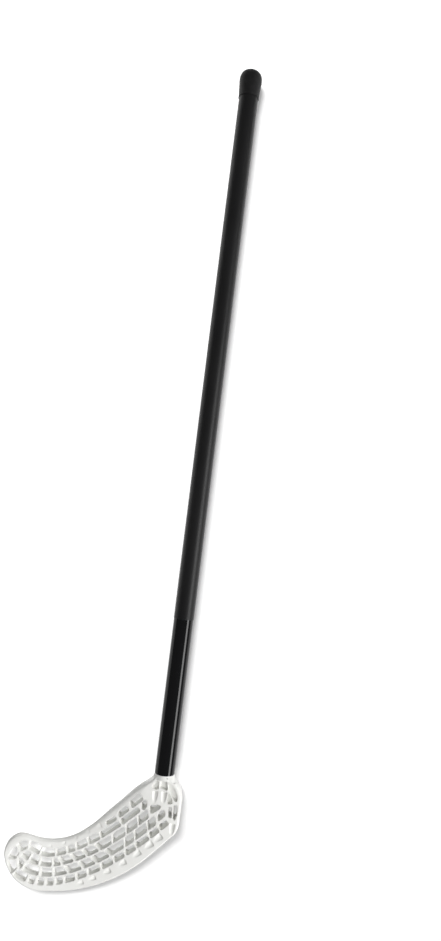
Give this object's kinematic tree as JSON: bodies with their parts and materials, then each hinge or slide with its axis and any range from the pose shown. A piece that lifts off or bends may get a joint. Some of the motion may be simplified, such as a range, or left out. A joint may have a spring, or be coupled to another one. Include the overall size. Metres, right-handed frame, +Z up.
{
  "type": "floorball stick",
  "caption": "Floorball stick: straight round shaft with a matte grip, glossy lower end and rounded end cap, and a white moulded lattice blade hooked to one side.",
  "frame": {"origin": "on the shaft's axis where the upper hand holds it, 820 mm above the tube's lower end", "axes": "+Z up the shaft towards the end cap, -X towards the blade's toe, -Y out of the blade's hollow face"},
  "size_m": [0.2127, 0.0458, 1.1156],
  "materials": {
    "tube": "black fibre composite, polished",
    "film": "glossy black film, bare",
    "sleeve": "matte black thin grip sleeve",
    "cap": "matte black moulded rubber",
    "blade": "warm white moulded polymer, satin",
    "screw": "black coated steel"
  },
  "bodies": {
    "root": {"shaft_tube": "tube", "graphic_film": "film", "grip_sleeve": "sleeve", "end_cap": "cap", "blade": "blade", "blade_screw": "screw"}
  },
  "joints": []
}
